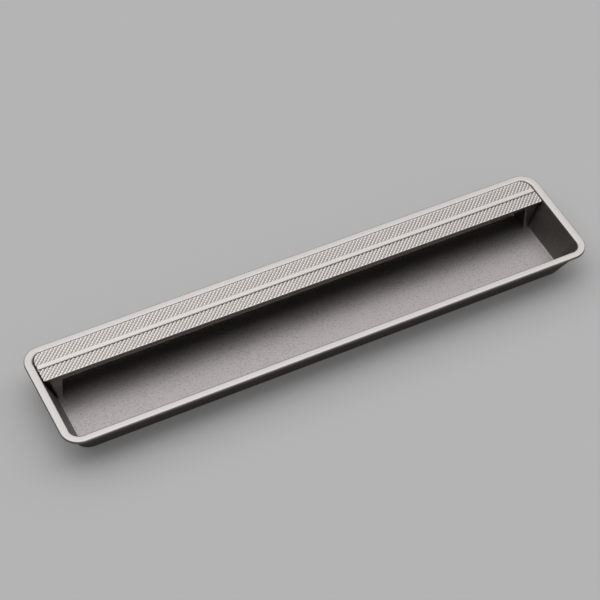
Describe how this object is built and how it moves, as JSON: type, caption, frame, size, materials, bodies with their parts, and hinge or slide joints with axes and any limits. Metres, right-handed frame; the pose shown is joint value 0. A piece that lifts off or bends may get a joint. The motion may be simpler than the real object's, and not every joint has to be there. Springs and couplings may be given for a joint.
{
  "type": "recessed pull handle",
  "caption": "Long recessed pull handle: a shallow rimmed metal tray with a knurled pull bar across its rear half, for a door or drawer front.",
  "frame": {"origin": "middle of the tray's flat underside", "axes": "+X along the handle, +Y towards the side that carries the bar, +Z out of the door or drawer front"},
  "size_m": [0.2, 0.043, 0.0135],
  "materials": {
    "tray": "fine sand-blasted satin, warm pale grey, on a zinc alloy casting",
    "pull_bar": "satin, warm pale grey, with a diamond knurl on the top, on a zinc alloy casting",
    "screws": "plain machined steel"
  },
  "bodies": {
    "root": {"tray": "tray", "pull_bar": "pull_bar", "left_leg_screw": "screws", "right_leg_screw": "screws"}
  },
  "joints": []
}
